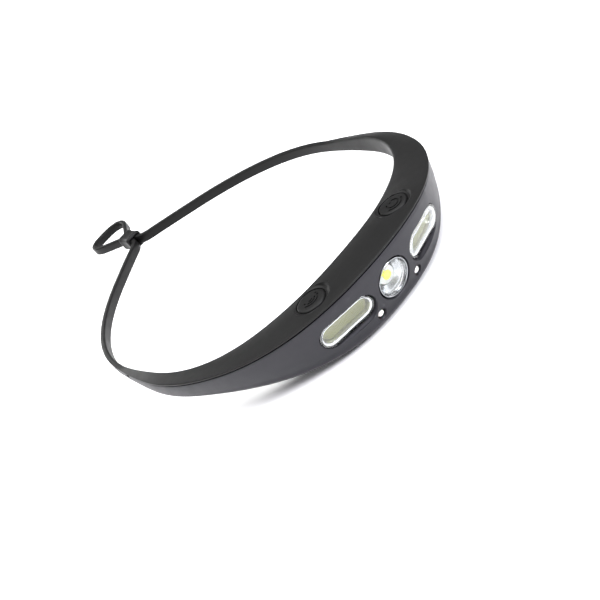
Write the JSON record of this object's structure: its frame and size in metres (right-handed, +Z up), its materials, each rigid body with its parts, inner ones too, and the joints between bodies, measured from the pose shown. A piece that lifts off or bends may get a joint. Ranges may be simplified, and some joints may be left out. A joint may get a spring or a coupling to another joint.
{
  "type": "silicone band headlamp",
  "caption": "Rechargeable headlamp: a crescent lamp body moulded into a thin silicone band, with a spot lens, strip lights, motion sensors, top buttons, a sliding keeper and a tail loop.",
  "frame": {"origin": "under the middle of the lamp's box, on the plane that its lowest edge touches", "axes": "+Y towards the back of the head, so the lenses face -Y; +Z up as worn; +X to the wearer's left"},
  "size_m": [0.1566, 0.2776, 0.0283],
  "materials": {
    "silicone": "satin, near black",
    "silicone_cap": "satin, near black, debossed mark",
    "shell_plastic": "satin charcoal",
    "inner_plastic": "moulded black",
    "clear_lens": "clear, polished",
    "bezel_chrome": "polished",
    "reflector_chrome": "vacuum metallised",
    "led_phosphor": "yellow phosphor",
    "circuit_board": "solder mask",
    "sensor_white": "white, glossy",
    "battery_foil": "laminated pouch",
    "lead_red": "red insulation",
    "lead_black": "black insulation",
    "seal_rubber": "silicone seal",
    "steel": "plain steel"
  },
  "bodies": {
    "lamp": {"battery_cell": "battery_foil", "battery_lead_negative": "lead_black", "battery_lead_positive": "lead_red", "button_board": "circuit_board", "cob_board_left": "circuit_board", "cob_board_right": "circuit_board", "cob_phosphor_left": "led_phosphor", "cob_phosphor_right": "led_phosphor", "front_shell": "shell_plastic", "housing_screw_left": "steel", "housing_screw_right": "steel", "housing_seal": "seal_rubber", "ir_emitter": "inner_plastic", "ir_receiver": "inner_plastic", "main_board": "circuit_board", "rear_housing": "inner_plastic", "sensor_window_left": "sensor_white", "sensor_window_right": "sensor_white", "silicone_body": "silicone", "spot_bezel": "bezel_chrome", "spot_led": "led_phosphor", "spot_lens": "clear_lens", "spot_reflector": "reflector_chrome", "spot_star_board": "circuit_board", "strap_left": "silicone", "strap_right": "silicone", "strip_lens_left": "clear_lens", "strip_lens_right": "clear_lens", "strip_reflector_left": "reflector_chrome", "strip_reflector_right": "reflector_chrome", "switch_left": "inner_plastic", "switch_right": "inner_plastic", "tail_loop": "silicone", "usb_socket": "steel"},
    "button_left": {"button_cap_left": "silicone_cap", "switch_plunger_left": "sensor_white"},
    "button_right": {"button_cap_right": "silicone_cap", "switch_plunger_right": "sensor_white"},
    "cover": {"port_cover": "silicone_cap"},
    "slider": {"keeper": "silicone"}
  },
  "joints": [
    {"name": "button_left_press", "type": "slide", "parent": "lamp", "child": "button_left", "axis": [0, 0, -1], "range_m": [0, 0.0005], "stiffness_N_per_m": 3000},
    {"name": "button_right_press", "type": "slide", "parent": "lamp", "child": "button_right", "axis": [0, 0, -1], "range_m": [0, 0.0005], "stiffness_N_per_m": 3000},
    {"name": "port_cover_hinge", "type": "hinge", "parent": "lamp", "child": "cover", "pos_m": [0.03492, -0.10524, 0.0113], "axis": [-0.8796, -0.4757, 0], "range_deg": [0, 100]},
    {"name": "keeper_slide", "type": "slide", "parent": "lamp", "child": "slider", "axis": [0, 1, 0], "range_m": [-0.03, 0.02], "deforming": ["strap_left", "strap_right", "tail_loop"]}
  ]
}
